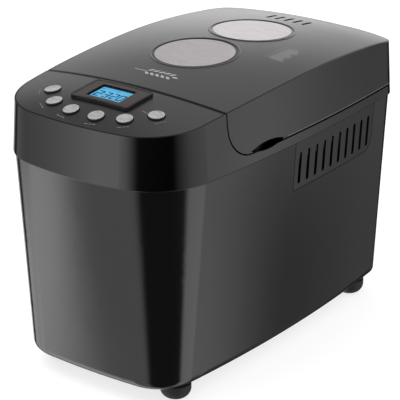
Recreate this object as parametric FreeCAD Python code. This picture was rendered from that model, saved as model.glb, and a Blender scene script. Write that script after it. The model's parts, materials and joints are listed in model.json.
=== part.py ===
"""Bread machine with two kneading paddles, a hinged lid with two round windows and a lift-out pan.

Millimetres. +X is the machine's right, +Y its back, +Z up. The origin is on the table surface,
under the middle of the casing. The control panel is at the front, over -Y.
"""
import FreeCAD
import Part
import math
import os

V = FreeCAD.Vector

# ---- casing: plan outline --------------------------------------------------------------
body_width = 240.0          # widest outside width, at the bottom edge of the upper housing
body_length = 432.0         # front to back, same level
front_bow = 23.0            # how far the front face bulges over the half width
rear_bow = 28.0
side_bow = 12.0             # how far each long side bulges over the half length
front_corner = 70.0         # plan corner radii
rear_corner = 22.0

# ---- casing: heights -------------------------------------------------------------------
foot_height = 15.2
base_plate_thick = 2.0
shell_bottom_z = foot_height + base_plate_thick
housing_bottom_z = 235.5    # lower edge of the glossy upper housing
lid_bottom_z = 247.5
housing_taper = 4.8         # the upper housing leans in this much by taper_top_z
taper_top_z = 320.0
housing_edge_r = 1.0
shell_step = 1.7            # the metal shell sits this far inside the upper housing
shell_top_z = 241.0
shell_front_lean = 21.7     # how far the shell's bottom edge stands in from the housing's
shell_side_lean = 14.2      # outline at the front, sides and rear
shell_rear_lean = 16.5
shell_front_bow = 7.5       # bows and corners of that bottom edge
shell_rear_bow = 6.0
shell_front_corner = 43.0
shell_rear_corner = 12.0
shell_thick = 1.0
shell_play = 0.25
shell_bottom_radius = 10.0
shell_opening_inset = 15.0  # width of the turned-in bottom flange
base_plate_inset = 10.5

# heights of the top surface: (share of half length, z)
top_edge = [(-1.12, 273.0), (-0.98, 281.0), (-0.88, 285.0), (-0.69, 291.4), (-0.54, 295.0),
            (-0.14, 301.4), (0.23, 303.9), (0.60, 299.8), (0.79, 295.0), (0.93, 288.8),
            (1.12, 277.0)]
top_middle = [(-1.12, 279.0), (-0.98, 289.2), (-0.88, 295.6), (-0.787, 299.4), (-0.60, 303.6),
              (-0.185, 311.3), (0.09, 313.5), (0.37, 312.3), (0.69, 307.0), (0.88, 299.6),
              (0.98, 292.0), (1.12, 280.0)]

# ---- walls and gaps --------------------------------------------------------------------
plastic_wall = 2.5
panel_thick = 2.5           # lid top panel and control cover
panel_groove_out = 0.9      # the groove round each top panel starts this far from the outside
panel_groove_in = 1.6       # and ends here, where the panel starts
ledge_width = 9.0
ledge_thick = 2.2
shut_gap = 1.7              # gap between the lid and the housing
seal_play = 0.15

# ---- lid parting line ------------------------------------------------------------------
seam_y = -114.5             # at the sides
seam_bow = 6.0              # the seam bows forward in the middle
lid_corner = 35.0           # rounded lower front corner of the lid, seen from the side
square_half_width = 98.0    # between these the lid's lower front corner is square, out of sight

# ---- finger grips ----------------------------------------------------------------------
grip_y = -54.5
grip_length = 55.0
grip_height = 9.0
grip_depth = 11.0
grip_z = 248.8

# ---- lid hinge -------------------------------------------------------------------------
hinge_y = 208.5
hinge_z = 244.0
hinge_pin_r = 2.5
hinge_play = 0.06
knuckle_r = 5.4
knuckle_out = 50.0          # lid knuckles lie between these distances from the middle
knuckle_in = 30.0
knuckle_gap = 0.8
trough_half = 84.0          # the housing's back wall is cut down this far each side
trough_front_y = 199.0
trough_floor_z = 238.0
lid_back_bottom_z = 250.0
hinge_screw_r = 2.0

# ---- windows in the lid ----------------------------------------------------------------
window_ys = (-17.0, 83.0)
window_r = 41.5
gasket_width = 2.5
glass_thick = 4.0
glass_recess = 1.0
gasket_sunk = 0.3
well_r = 40.0
well_drop = 5.0             # the wells stop this far under the glass
liner_top_z = 281.0
liner_flange = 9.5
inner_glass_thick = 3.0

# ---- steam slots in the lid ------------------------------------------------------------
slot_count = 5
slot_pitch = 11.5
slot_y = 151.5
slot_length = 19.0
slot_width = 4.0

# ---- control panel ---------------------------------------------------------------------
button_spots = [(-65.0, -162.8), (-44.0, -184.6), (-15.6, -192.7),
                (15.6, -192.7), (44.0, -184.6), (65.0, -162.8)]
button_r = 8.5
button_hole_play = 0.45
button_rise = 1.9
button_travel = 1.2
button_under_gap = 0.5
stem_play = 0.9             # a pressed key stops short of its switch
button_dish_r = 38.0
display_y = -150.3
display_size = (72.0, 43.5)
display_glass = (67.6, 39.1)
display_opening = (62.0, 33.0)
display_rise = 2.8
display_glass_z = (0.9, 2.5)    # bottom and top of the display's glass above the panel
lcd_size = (40.5, 26.0)
lcd_sunk = (5.0, 0.4)          # bottom and top of the display module under the panel
board_z = 281.0
board_y = -158.0
board_half = (72.0, 33.0)
board_posts = [(-30.0, -186.0), (30.0, -186.0), (-54.0, -138.0), (54.0, -138.0)]
board_thick = 1.6
switch_height = 3.5

# ---- side vents ------------------------------------------------------------------------
vent_y = (-4.0, 151.0)
vent_bottom_z = 183.0
vent_corner = 13.0
vent_gap = 0.8
vent_slots = 10
vent_slot_pitch = 15.0
vent_slot_first_y = 5.3
vent_slot_z = (188.5, 223.0)
vent_slot_width = 5.0
vent_thick = 2.2
vent_lap = 3.0              # the vent laps behind the shell this far

# ---- feet ------------------------------------------------------------------------------
foot_x = 77.0
foot_front_y = -151.0
foot_rear_y = 168.0
foot_r = 16.0
foot_sole_r = 9.5
screw_r = 2.0
screw_play = 0.2

# ---- oven chamber ----------------------------------------------------------------------
oven_y = 33.0               # middle of the chamber and the pan
oven_half_x = 91.0          # inside
oven_half_y = 130.0
oven_corner = 25.0
oven_floor_z = 68.0
oven_wall = 1.0
oven_flange = 7.0
shield_gap = 7.0            # from the chamber to the heat shield

# ---- bread pan -------------------------------------------------------------------------
pan_half_x = 72.0           # outside, at the rim
pan_half_y = 112.0
pan_taper = 6.0
pan_corner = 24.0
pan_bottom_z = 82.5
pan_rim_z = 204.0
pan_wall = 1.5
pan_rim = 4.0
pan_ring_half = (45.0, 88.0)
pan_ring_wall = 4.0
pan_ring_z = 71.5
pan_lift = 60.0

# ---- pan handle ------------------------------------------------------------------------
bail_pivot_z = 197.0
bail_wire_r = 2.5
bail_pin_play = 0.1
bail_out = 121.0            # the arms lie this far from the middle of the pan
bail_bar_x = 69.0
bail_bar_z = 211.0
bail_bend = 8.0
grip_tube_r = 5.0
grip_tube_half = 55.0
ear_thick = 3.0

# ---- drive -----------------------------------------------------------------------------
paddle_ys = window_ys       # each paddle turns under a window
shaft_r = 5.0
bearing_r = 7.0
bearing_housing_r = 11.0
bearing_play = 0.05
chassis_z = 48.0            # underside of the chassis plate
chassis_thick = 2.0
chassis_half = 50.0
chassis_y = (-175.0, 118.0)
motor_y = -146.0
motor_r = 38.0
motor_shaft_r = 3.0
motor_pulley_r = 8.0
main_pulley_r = 42.0
sync_pulley_r = 18.0
belt_thick = 2.6
belt_play = 0.3
flange_lip = 2.4
main_belt_z = (30.0, 40.0)
sync_belt_z = (41.8, 46.6)
pulley_lip_thick = 0.8
coupling_r = 11.0
pan_shaft_r = 4.0
bar_angle = 32.0            # where the cross-bar stands between the coupling dogs

# ---- heating ---------------------------------------------------------------------------
element_r = 3.25
element_half = (80.0, 118.0)
element_z = 93.0
element_tail_x = 22.0
element_corner = 22.0

# ---- cord inlet ------------------------------------------------------------------------
inlet_x = 40.0
inlet_z = 58.0
inlet_bore_r = 4.0
inlet_length = 16.0
inlet_r = 8.0

half_w = body_width / 2
half_l = body_length / 2
far = 400.0                 # longer than anything, for cutting blocks


# ---- small helpers ---------------------------------------------------------------------
def box(x0, x1, y0, y1, z0, z1):
    return Part.makeBox(x1 - x0, y1 - y0, z1 - z0, V(x0, y0, z0))


def rod(r, x, y, z0, z1):
    return Part.makeCylinder(r, z1 - z0, V(x, y, z0))


def ring(r_out, r_in, x, y, z0, z1):
    return rod(r_out, x, y, z0, z1).cut(rod(r_in, x, y, z0 - 1, z1 + 1))


def rod_x(r, x0, x1, y, z):
    return Part.makeCylinder(r, x1 - x0, V(x0, y, z), V(1, 0, 0))


def rod_y(r, y0, y1, x, z):
    return Part.makeCylinder(r, y1 - y0, V(x, y0, z), V(0, 1, 0))


def rounded_rect_wire(hx, hy, r, z, cx=0.0, cy=0.0):
    pts = []
    for sx, sy, a in ((1, -1, -90), (1, 1, 0), (-1, 1, 90), (-1, -1, 180)):
        c = V(cx + sx * (hx - r), cy + sy * (hy - r), z)
        arc = [c + V(r * math.cos(math.radians(a + d)), r * math.sin(math.radians(a + d)), 0)
               for d in (0, 45, 90)]
        pts.append(arc)
    edges = []
    for i, arc in enumerate(pts):
        edges.append(Part.Arc(*arc).toShape())
        edges.append(Part.LineSegment(arc[2], pts[(i + 1) % 4][0]).toShape())
    return Part.Wire(edges)


def rounded_block(hx, hy, r, z0, z1, cx=0.0, cy=0.0):
    face = Part.Face(rounded_rect_wire(hx, hy, r, z0, cx, cy))
    return face.extrude(V(0, 0, z1 - z0))


def tapered_block(hx0, hy0, r0, z0, hx1, hy1, r1, z1, cx=0.0, cy=0.0):
    return Part.makeLoft([rounded_rect_wire(hx0, hy0, r0, z0, cx, cy),
                          rounded_rect_wire(hx1, hy1, r1, z1, cx, cy)], True, True)


def fuse(*shapes):
    shapes = [s for s in shapes if s is not None]
    whole = shapes[0] if len(shapes) == 1 else shapes[0].multiFuse(list(shapes[1:]))
    return whole.removeSplitter()


def group(*shapes):
    solids = []
    for s in shapes:
        solids += s.Solids
    return Part.makeCompound(solids)


def mirror_x(shape):
    return shape.mirror(V(0, 0, 0), V(1, 0, 0))


def fillet_where(shape, radius, test):
    edges = [e for e in shape.Edges if test(e)]
    return shape.makeFillet(radius, edges) if edges else shape


def at_level(z, tol=0.01):
    return lambda e: abs(e.BoundBox.ZMin - z) < tol and abs(e.BoundBox.ZMax - z) < tol


# ---- the casing's plan outline ---------------------------------------------------------
def bow_radius(half_chord, bow):
    return (half_chord ** 2 + bow ** 2) / (2 * bow)


def meet(c0, r0, c1, r1):
    """The right-hand crossing point of two circles."""
    d = c1 - c0
    along = (r0 ** 2 - r1 ** 2 + d.Length ** 2) / (2 * d.Length)
    across = math.sqrt(r0 ** 2 - along ** 2)
    u = V(d.x / d.Length, d.y / d.Length, 0)
    n = V(-u.y, u.x, 0)
    a, b = c0 + u * along + n * across, c0 + u * along - n * across
    return a if a.x > b.x else b


def arc_about(c, r, a, b, z):
    """Arc of radius r round c, from the direction of a to that of b, the short way."""
    def toward(p):
        d = V(p.x - c.x, p.y - c.y, 0)
        return d.multiply(1 / d.Length)
    ua, ub = toward(a), toward(b)
    um = ua + ub
    um = um.multiply(1 / um.Length)
    at = [V(c.x + u.x * r, c.y + u.y * r, z) for u in (ua, um, ub)]
    return Part.Arc(*at).toShape()


housing_plan = dict(half_width=half_w, front=-half_l, rear=half_l, front_bow=front_bow,
                    side_bow=side_bow, rear_bow=rear_bow, front_corner=front_corner,
                    rear_corner=rear_corner)
shell_foot_plan = dict(half_width=half_w - shell_side_lean, front=-half_l + shell_front_lean,
                       rear=half_l - shell_rear_lean, front_bow=shell_front_bow,
                       side_bow=side_bow, rear_bow=shell_rear_bow,
                       front_corner=shell_front_corner, rear_corner=shell_rear_corner)


def plan_wire(plan, inset, z):
    """An outline of eight tangent arcs, inset evenly, at height z."""
    w = plan["half_width"]
    half = (plan["rear"] - plan["front"]) / 2
    r_front = bow_radius(w, plan["front_bow"])
    r_rear = bow_radius(w, plan["rear_bow"])
    r_side = bow_radius(half, plan["side_bow"])
    corner_f, corner_r = plan["front_corner"], plan["rear_corner"]
    c_front = V(0, plan["front"] + r_front, 0)
    c_rear = V(0, plan["rear"] - r_rear, 0)
    c_right = V(w - r_side, (plan["rear"] + plan["front"]) / 2, 0)
    c_left = V(-c_right.x, c_right.y, 0)
    k_fr = meet(c_front, r_front - corner_f, c_right, r_side - corner_f)
    k_rr = meet(c_rear, r_rear - corner_r, c_right, r_side - corner_r)
    k_fl, k_rl = V(-k_fr.x, k_fr.y, 0), V(-k_rr.x, k_rr.y, 0)

    def touch(c, k):
        d = k - c
        return k + d.multiply(1.0 / d.Length)
    f_l, f_r = touch(c_front, k_fl), touch(c_front, k_fr)
    s_fr, s_rr = touch(c_right, k_fr), touch(c_right, k_rr)
    b_r, b_l = touch(c_rear, k_rr), touch(c_rear, k_rl)
    s_rl, s_fl = touch(c_left, k_rl), touch(c_left, k_fl)
    edges = [arc_about(c_front, r_front - inset, f_l, f_r, z),
             arc_about(k_fr, corner_f - inset, f_r, s_fr, z),
             arc_about(c_right, r_side - inset, s_fr, s_rr, z),
             arc_about(k_rr, corner_r - inset, s_rr, b_r, z),
             arc_about(c_rear, r_rear - inset, b_r, b_l, z),
             arc_about(k_rl, corner_r - inset, b_l, s_rl, z),
             arc_about(c_left, r_side - inset, s_rl, s_fl, z),
             arc_about(k_fl, corner_f - inset, s_fl, f_l, z)]
    return Part.Wire(edges)


def plan_block(inset0, z0, inset1, z1):
    return Part.makeLoft([plan_wire(housing_plan, inset0, z0),
                          plan_wire(housing_plan, inset1, z1)], True, True)


def housing_inset(z):
    return housing_taper * (z - housing_bottom_z) / (taper_top_z - housing_bottom_z)


def housing_block(inset, z0=None):
    """The upper housing's outer form, inset, from z0 to above the top surface."""
    z0 = housing_bottom_z if z0 is None else z0
    return plan_block(inset + housing_inset(z0), z0, inset + housing_taper, taper_top_z)


def shell_block(inset):
    """The metal shell's outer form, inset, with no rounding."""
    return Part.makeLoft([plan_wire(shell_foot_plan, inset, shell_bottom_z),
                          plan_wire(housing_plan, shell_step + inset, shell_top_z)],
                         True, True)


def foot_plan_block(inset, z0, z1):
    """A flat piece inside the shell's bottom outline, with the same corner radii."""
    plan = dict(shell_foot_plan, front_corner=shell_front_corner + inset,
                rear_corner=shell_rear_corner + inset)
    return Part.makeLoft([plan_wire(plan, inset, z0), plan_wire(plan, inset, z1)],
                         True, True)


# ---- the domed top surface -------------------------------------------------------------
def profile_curve(points):
    curve = Part.BSplineCurve()
    curve.interpolate([V(0, share * half_l, z) for share, z in points])
    return curve


edge_curve, middle_curve = profile_curve(top_edge), profile_curve(top_middle)


def height_on(curve, y):
    """Height of a lengthwise curve at y."""
    lo, hi = curve.FirstParameter, curve.LastParameter
    for _ in range(40):
        mid = (lo + hi) / 2
        if curve.value(mid).y < y:
            lo = mid
        else:
            hi = mid
    return curve.value(lo).z


def top_z(x, y):
    edge, middle = height_on(edge_curve, y), height_on(middle_curve, y)
    return edge + (middle - edge) * (1 - (x / half_w) ** 2)


def below_top(offset=0.0, depth=110.0):
    """Everything from the domed top surface, raised by offset, down through depth."""
    xs = [half_w * 1.1 * (i / 5.0 - 1) for i in range(11)]
    ys = [half_l * 1.1 * (i / 12.0 - 1) for i in range(25)]
    surface = Part.BSplineSurface()
    surface.interpolate([[V(x, y, top_z(x, y) + offset) for y in ys] for x in xs])
    return surface.toShape().extrude(V(0, 0, -depth))


def top_layer(upper, lower):
    """The layer between two offsets of the domed top surface."""
    return below_top(upper, upper - lower)


def square_to_panel(shape, x, y):
    """Moves a piece built on the origin to x, y on the top, square to the surface."""
    step = 0.5
    slope_x = (top_z(x + step, y) - top_z(x - step, y)) / (2 * step)
    slope_y = (top_z(x, y + step) - top_z(x, y - step)) / (2 * step)
    normal = V(-slope_x, -slope_y, 1)
    placed = shape.copy()
    placed.Placement = FreeCAD.Placement(V(x, y, top_z(x, y)),
                                         FreeCAD.Rotation(V(0, 0, 1), normal))
    return placed


# ---- where the lid is ------------------------------------------------------------------
def side_profile_block(points_arc, x0, x1):
    """Extrudes a Y-Z profile given as (start, arc mid or None, end) runs from x0 to x1."""
    edges = []
    for a, m, b in points_arc:
        pa, pb = V(x0, *a), V(x0, *b)
        edges.append((Part.LineSegment(pa, pb) if m is None
                      else Part.Arc(pa, V(x0, *m), pb)).toShape())
    return Part.Face(Part.Wire(edges)).extrude(V(x1 - x0, 0, 0))


def lid_zone(grow):
    """The space the lid takes, grown on its front and bottom by grow."""
    y0, z0 = seam_y - grow, lid_bottom_z - grow
    r = lid_corner + grow
    k = r * (1 - math.sqrt(0.5))
    sides = side_profile_block([((y0, far), None, (y0, z0 + r)),
                                ((y0, z0 + r), (y0 + k, z0 + k), (y0 + r, z0)),
                                ((y0 + r, z0), None, (far, z0)),
                                ((far, z0), None, (far, far)),
                                ((far, far), None, (y0, far))], -half_w * 1.2, half_w * 1.2)
    middle = box(-square_half_width - grow, square_half_width + grow, y0, far, z0, far)
    r_bow = bow_radius(half_w, seam_bow) + grow
    c_y = seam_y - seam_bow - grow + r_bow
    half_bow = math.sqrt(r_bow ** 2 - (c_y - y0) ** 2)
    chord = Part.LineSegment(V(half_bow, y0, z0 + r), V(-half_bow, y0, z0 + r)).toShape()
    bow = Part.Arc(V(-half_bow, y0, z0 + r), V(0, c_y - r_bow, z0 + r),
                   V(half_bow, y0, z0 + r)).toShape()
    front = Part.Face(Part.Wire([bow, chord])).extrude(V(0, 0, far - z0 - r))
    return sides.fuse([middle, front])


def grip_prism(side, grow=0.0):
    """Lens-shaped finger grip on the parting line of one long side."""
    hl, hh = grip_length / 2 + grow, grip_height / 2 + grow
    x_out = half_w + 5
    x_in = half_w - side_bow * (grip_y / half_l) ** 2 - grip_depth - grow
    a, b = V(x_in, grip_y - hl, grip_z), V(x_in, grip_y + hl, grip_z)
    upper = Part.Arc(a, V(x_in, grip_y, grip_z + hh), b).toShape()
    lower = Part.Arc(b, V(x_in, grip_y, grip_z - hh), a).toShape()
    lens = Part.Face(Part.Wire([upper, lower])).extrude(V(x_out - x_in, 0, 0))
    return lens if side > 0 else mirror_x(lens)


# ---- casing parts ----------------------------------------------------------------------
def vent_prism(side, grow):
    """Outline of a side vent insert, as a block through one side wall."""
    y0, y1 = vent_y[0] - grow, vent_y[1] + grow
    z0, z1 = vent_bottom_z - grow, housing_bottom_z - vent_gap + grow
    r = vent_corner + grow
    k = r * (1 - math.sqrt(0.5))
    block = side_profile_block([((y0, z1), None, (y0, z0)),
                                ((y0, z0), None, (y1 - r, z0)),
                                ((y1 - r, z0), (y1 - k, z0 + k), (y1, z0 + r)),
                                ((y1, z0 + r), None, (y1, z1)),
                                ((y1, z1), None, (y0, z1))], half_w * 0.7, half_w * 1.1)
    return block if side > 0 else mirror_x(block)


def vent_slot_blocks(side):
    blocks = []
    for i in range(vent_slots):
        y = vent_slot_first_y + i * vent_slot_pitch
        hw = vent_slot_width / 2
        z0, z1 = vent_slot_z
        slot = box(half_w * 0.7, half_w * 1.1, y - hw, y + hw, z0 + hw, z1 - hw)
        ends = [Part.makeCylinder(hw, half_w * 0.4, V(half_w * 0.7, y, z), V(1, 0, 0))
                for z in (z0 + hw, z1 - hw)]
        whole = slot.fuse(ends)
        blocks.append(whole if side > 0 else mirror_x(whole))
    return blocks


def lower_shell():
    outer = fillet_where(shell_block(0), shell_bottom_radius, at_level(shell_bottom_z))
    floor_z = shell_bottom_z + shell_thick
    inner = fillet_where(shell_block(shell_thick).cut(box(-far, far, -far, far, 0, floor_z)),
                         shell_bottom_radius - shell_thick, at_level(floor_z))
    opening = foot_plan_block(shell_opening_inset, shell_bottom_z - 1, shell_bottom_z + 5)
    trough_ends = trough_half + plastic_wall + shell_play
    notch = box(-trough_ends, trough_ends, trough_front_y - 2, far,
                housing_bottom_z - shell_play, far)
    shell = outer.cut([inner, opening, notch, vent_prism(1, vent_gap),
                       vent_prism(-1, vent_gap),
                       rod_y(inlet_r, 0, half_l * 1.1, inlet_x, inlet_z)])
    return fuse(shell)


def side_vent(side):
    """Grille flush with the shell, with a flange that laps behind it."""
    front = shell_block(0).common(vent_prism(side, 0))
    behind = shell_block(shell_thick).common(vent_prism(side, vent_lap))
    return fuse(front.fuse(behind).cut([shell_block(vent_thick)] + vent_slot_blocks(side)))


def upper_housing():
    outer = fillet_where(housing_block(0), housing_edge_r, at_level(housing_bottom_z))
    outer = outer.common(below_top())
    cavity = housing_block(plastic_wall, housing_bottom_z - 1).common(
        below_top(-panel_thick - ledge_thick)).cut(lid_zone(shut_gap + plastic_wall))
    trough_ends = trough_half + plastic_wall
    slot_out, slot_in = shell_step - shell_play, shell_step + shell_thick + shell_play
    slot_top = shell_top_z + 2 * shell_play
    rabbet = plan_block(slot_out, housing_bottom_z - 1, slot_out, slot_top).cut(
        [plan_block(slot_in, housing_bottom_z - 2, slot_in, slot_top + 1),
         box(-trough_ends, trough_ends, trough_front_y, far, 0, far)])
    body = outer.cut([lid_zone(shut_gap), cavity, rabbet])
    # blocks that close the inside behind the hinge trough and the finger grips
    trough_back = box(-trough_ends, trough_ends,
                      trough_front_y - plastic_wall, far, housing_bottom_z,
                      lid_bottom_z - shut_gap)
    seats = [trough_back.common(outer.cut(rabbet))]
    for side in (1, -1):
        seat = grip_prism(side, plastic_wall).common(outer).cut([lid_zone(shut_gap), rabbet])
        seats.append(seat)
    body = body.fuse(seats)
    trough = box(-trough_half, trough_half, trough_front_y, far, trough_floor_z, far)
    opening = rounded_block(oven_half_x + oven_wall + 0.5, oven_half_y + oven_wall + 0.5,
                            oven_corner + oven_wall + 0.5, housing_bottom_z, far, 0, oven_y)
    grow = oven_flange + 0.4
    rebate = rounded_block(oven_half_x + grow, oven_half_y + grow, oven_corner + grow,
                           lid_bottom_z - shut_gap - oven_wall, far, 0, oven_y)
    body = body.cut([trough, opening, rebate, grip_prism(1), grip_prism(-1)])
    # pocket and opening for the control cover
    in_front = lid_zone(shut_gap + panel_groove_out)
    pocket = housing_block(panel_groove_out).common(top_layer(5, -panel_thick)).cut(in_front)
    hole = housing_block(ledge_width).common(top_layer(5, -12)).cut(
        lid_zone(shut_gap + ledge_width))
    return fuse(body.cut([pocket, hole]))


def display_block(size, upper, lower, corner):
    prism = rounded_block(size[0] / 2, size[1] / 2, corner, board_z - 30, far, 0, display_y)
    return prism.common(top_layer(upper, lower))


def control_cover():
    plate = housing_block(panel_groove_in).common(top_layer(0, -panel_thick)).cut(
        lid_zone(shut_gap + panel_groove_in))
    holes = [square_to_panel(rod(button_r + button_hole_play, 0, 0, -10, 10), x, y)
             for x, y in button_spots]
    window = rounded_block(display_opening[0] / 2, display_opening[1] / 2, 2.0, board_z, far,
                           0, display_y)
    posts = [rod(3.0, x, y, board_z + board_thick, far).common(below_top(-panel_thick))
             for x, y in board_posts]
    return fuse(plate.cut(holes + [window]).fuse(posts))


def display_bezel():
    """Raised black frame with a rebate for the glass and a lip into the cover."""
    frame = display_block(display_size, display_rise, 0, 4.0)
    lip = display_block((display_opening[0] - 0.4, display_opening[1] - 0.4), 0,
                        -panel_thick - 1.0, 1.8)
    hole = rounded_block(display_opening[0] / 2 - 2, display_opening[1] / 2 - 2, 1.5,
                         board_z - 30, far, 0, display_y)
    rebate = display_block(display_glass, display_rise + 1, display_glass_z[0], 2.4)
    return fuse(frame.fuse(lip).cut([hole, rebate]))


def display_window():
    return fuse(display_block(display_glass, display_glass_z[1], display_glass_z[0], 2.4))


def lcd_module():
    hx, hy = lcd_size[0] / 2, lcd_size[1] / 2
    return square_to_panel(box(-hx, hx, -hy, hy, -lcd_sunk[0], -lcd_sunk[1]), 0, display_y)


def control_board():
    plate = rounded_block(board_half[0], board_half[1], 6, board_z, board_z + board_thick,
                          0, board_y)
    switches = []
    for x, y in button_spots:
        base = board_z + board_thick
        switches.append(box(x - 3, x + 3, y - 3, y + 3, base, base + switch_height))
    over_riser = square_to_panel(box(-30, 30, -25, 25, -lcd_sunk[0], 20), 0, display_y)
    riser = box(-18, 18, display_y - 9, display_y + 9, board_z + board_thick,
                top_z(0, display_y)).cut(over_riser)
    chip = box(40, 54, -150, -136, board_z - 2, board_z)
    return fuse(plate, riser, chip, *switches)


def button(x, y):
    """A round key: dished cap with a skirt, and a stem down to its switch."""
    cap_bottom = -panel_thick - button_under_gap
    cap = fillet_where(rod(button_r, 0, 0, cap_bottom, button_rise), 1.4,
                       at_level(button_rise))
    dish = Part.makeSphere(button_dish_r, V(0, 0, button_rise + button_dish_r - 0.7))
    flange = rod(button_r + 1.6, 0, 0, cap_bottom - 1.2, cap_bottom)
    above_board = top_z(x, y) - board_z - board_thick
    stem_bottom = switch_height + button_travel + stem_play - above_board
    stem = rod(2.6, 0, 0, stem_bottom, cap_bottom)
    return square_to_panel(fuse(cap.cut(dish), flange, stem), x, y)


# ---- lid -------------------------------------------------------------------------------
def lid_knuckle(side):
    x0, x1 = (knuckle_in, knuckle_out) if side > 0 else (-knuckle_out, -knuckle_in)
    barrel = rod_x(knuckle_r, x0, x1, hinge_y, hinge_z)
    web = box(x0, x1, hinge_y - knuckle_r, hinge_y + 2.0, hinge_z, lid_back_bottom_z + 4)
    return barrel.fuse(web)


def lid_shell():
    outer = housing_block(0).common(below_top()).common(lid_zone(0))
    cavity = housing_block(plastic_wall, 200).common(
        below_top(-panel_thick - ledge_thick)).common(lid_zone(-plastic_wall))
    seats = [grip_prism(side, plastic_wall).common(outer) for side in (1, -1)]
    seats.append(box(-trough_half - plastic_wall, trough_half + plastic_wall,
                     trough_front_y - plastic_wall, far, 200,
                     lid_back_bottom_z + plastic_wall).common(outer))
    body = outer.cut(cavity).fuse(seats)
    rebate = liner_outline(liner_flange + 0.4, 200, lid_bottom_z + oven_wall)
    opening = liner_outline(0.5, 200, lid_bottom_z + plastic_wall + 1)
    body = body.cut([grip_prism(1), grip_prism(-1), rebate, opening,
                     box(-trough_half, trough_half, trough_front_y, far, 200,
                         lid_back_bottom_z)])
    pocket = housing_block(panel_groove_out).common(top_layer(5, -panel_thick)).common(
        lid_zone(-panel_groove_out))
    hole = housing_block(ledge_width).common(top_layer(5, -12)).common(
        lid_zone(-ledge_width))
    body = body.cut([pocket, hole])
    body = body.fuse([lid_knuckle(1), lid_knuckle(-1)])
    bore = rod_x(hinge_pin_r + hinge_play, -far / 2, far / 2, hinge_y, hinge_z)
    return fuse(body.cut(bore))


def steam_slots(z0, z1):
    blocks = []
    for i in range(slot_count):
        x = (i - (slot_count - 1) / 2) * slot_pitch
        hw, hl = slot_width / 2, slot_length / 2
        blocks.append(rounded_block(hw, hl, hw - 0.05, z0, z1, x, slot_y))
    return blocks


def lid_top_panel():
    plate = housing_block(panel_groove_in).common(top_layer(0, -panel_thick)).common(
        lid_zone(-panel_groove_in))
    cut = [square_to_panel(rod(window_r + gasket_width, 0, 0, -20, 20), 0, y)
           for y in window_ys]
    return fuse(plate.cut(cut + steam_slots(200, far)))


def window_glass(y):
    glass = rod(window_r, 0, 0, -glass_recess - glass_thick, -glass_recess)
    return square_to_panel(glass, 0, y)


def window_gasket(y):
    """Ring that holds the glass in the lid, with a lip under the glass."""
    glass_bottom = -glass_recess - glass_thick
    outside = rod(window_r + gasket_width, 0, 0, glass_bottom - 2, 10)
    inside = rod(window_r, 0, 0, glass_bottom, 11)
    through = rod(window_r - 3, 0, 0, -20, 11)
    return square_to_panel(outside.cut([inside, through]), 0, y).common(
        below_top(-gasket_sunk))


def window_gaskets():
    return group(*[fuse(window_gasket(y)) for y in window_ys])


def liner_outline(grow, z0, z1):
    """Plan of the liner's tray, grown evenly, as a block."""
    return rounded_block(oven_half_x - 5 + grow, oven_half_y - 3 + grow, oven_corner + grow,
                         z0, z1, 0, oven_y)


def lid_liner():
    """Metal tray under the lid, with a round well up to each window."""
    t = oven_wall
    flange_z = lid_bottom_z
    tray = liner_outline(0, flange_z, liner_top_z)
    hollow = liner_outline(-t, flange_z - 1, liner_top_z - t)
    flange = liner_outline(liner_flange, flange_z, flange_z + t)
    solid = tray.fuse(flange).cut(hollow)
    for y in window_ys:
        well_top = top_z(0, y) - glass_recess - glass_thick - well_drop
        well = ring(well_r, well_r - t, 0, y, liner_top_z - t, well_top)
        solid = solid.fuse(well).cut(rod(well_r - t, 0, y, liner_top_z - 5, well_top + 1))
    return fuse(solid.cut(steam_slots(liner_top_z - 5, liner_top_z + 5)))


def inner_panes():
    """Lower panes of the double windows, carried in the liner's wells."""
    z0 = liner_top_z - oven_wall
    panes = [rod(well_r - oven_wall, 0, y, z0, z0 + inner_glass_thick)
             for y in window_ys]
    return group(*panes)


def lid_seal():
    z0 = lid_bottom_z - shut_gap + seal_play
    return liner_outline(liner_flange - 1, z0, lid_bottom_z).cut(
        liner_outline(liner_flange - 5, z0 - 1, lid_bottom_z + 1))


# ---- hinge -----------------------------------------------------------------------------
def hinge_bracket():
    """Fixed middle knuckle, screwed to the floor of the trough."""
    x = knuckle_in - knuckle_gap
    barrel = rod_x(knuckle_r - 0.4, -x, x, hinge_y, hinge_z)
    foot = box(-x, x, trough_front_y + 0.5, hinge_y + 2.5, trough_floor_z,
               trough_floor_z + 2.2)
    web = box(-x, x, hinge_y - 4.0, hinge_y + 2.5, trough_floor_z, hinge_z)
    bores = rod_x(hinge_pin_r, -x - 1, x + 1, hinge_y, hinge_z)
    return fuse(barrel, foot, web).cut(bores)


def hinge_pins():
    inner = knuckle_in - 18
    pins = [rod_x(hinge_pin_r, inner, knuckle_out + 1.5, hinge_y, hinge_z),
            rod_x(hinge_pin_r, -knuckle_out - 1.5, -inner, hinge_y, hinge_z)]
    heads = [rod_x(hinge_pin_r + 1.2, knuckle_out + 0.5, knuckle_out + 1.7, hinge_y, hinge_z),
             rod_x(hinge_pin_r + 1.2, -knuckle_out - 1.7, -knuckle_out - 0.5, hinge_y,
                   hinge_z)]
    return group(fuse(pins[0], heads[0]), fuse(pins[1], heads[1]))


# ---- base and feet ---------------------------------------------------------------------
foot_places = [(sx * foot_x, y) for y in (foot_front_y, foot_rear_y) for sx in (-1, 1)]


def base_plate():
    z0 = foot_height
    plate = foot_plan_block(base_plate_inset, z0, z0 + base_plate_thick)
    holes = [rod(screw_r + screw_play, x, y, 0, 60) for x, y in foot_places]
    vents = []
    for i in range(9):
        y = 20 + i * 9.0
        vents.append(rounded_block(26, 1.8, 1.7, 0, 60, 0, y))
    return fuse(plate.cut(holes + vents))


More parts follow.
